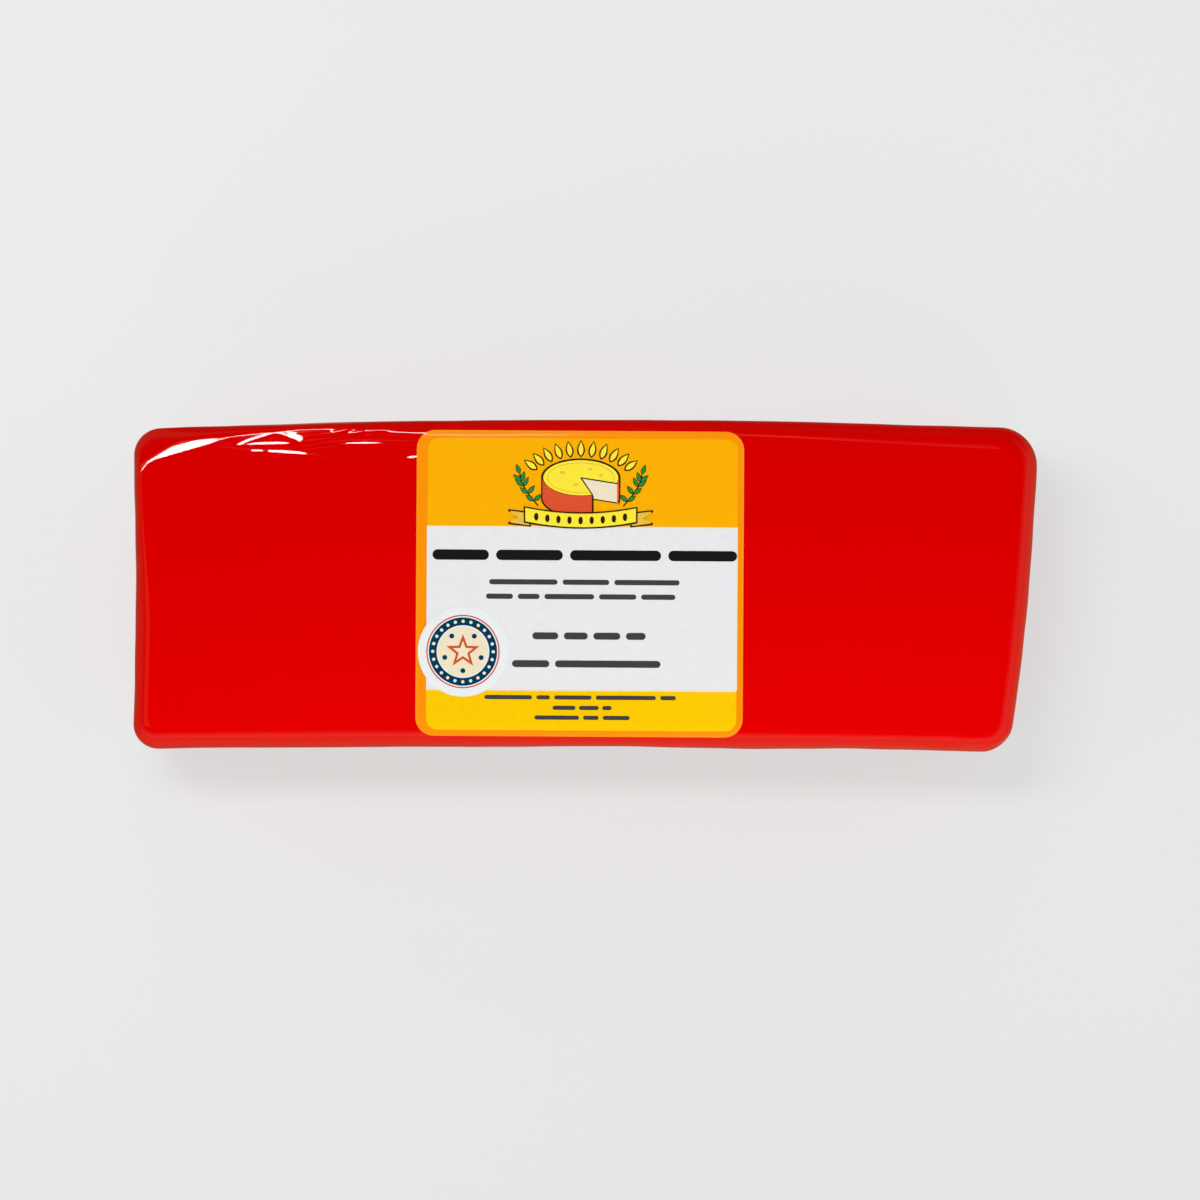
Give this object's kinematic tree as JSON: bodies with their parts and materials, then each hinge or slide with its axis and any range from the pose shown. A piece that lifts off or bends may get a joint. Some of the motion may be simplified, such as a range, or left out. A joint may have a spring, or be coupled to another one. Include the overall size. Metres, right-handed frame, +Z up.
{
  "type": "cheddar block",
  "caption": "Long bar of cheddar in a glossy red coat under tight film, lying flat, with a wrapped paper label and a round seal.",
  "frame": {"origin": "middle of the block's footprint, on the surface that it lies on", "axes": "+X along the length, towards the end that leans in; +Y across, towards the side that bows out; +Z up, out of the labelled face"},
  "size_m": [0.1761, 0.0643, 0.0394],
  "materials": {
    "red_coat": "gloss",
    "label_paper": "satin",
    "seal_paper": "satin"
  },
  "bodies": {
    "root": {"cheddar_block": "red_coat", "paper_label": "label_paper", "round_seal": "seal_paper"}
  },
  "joints": []
}
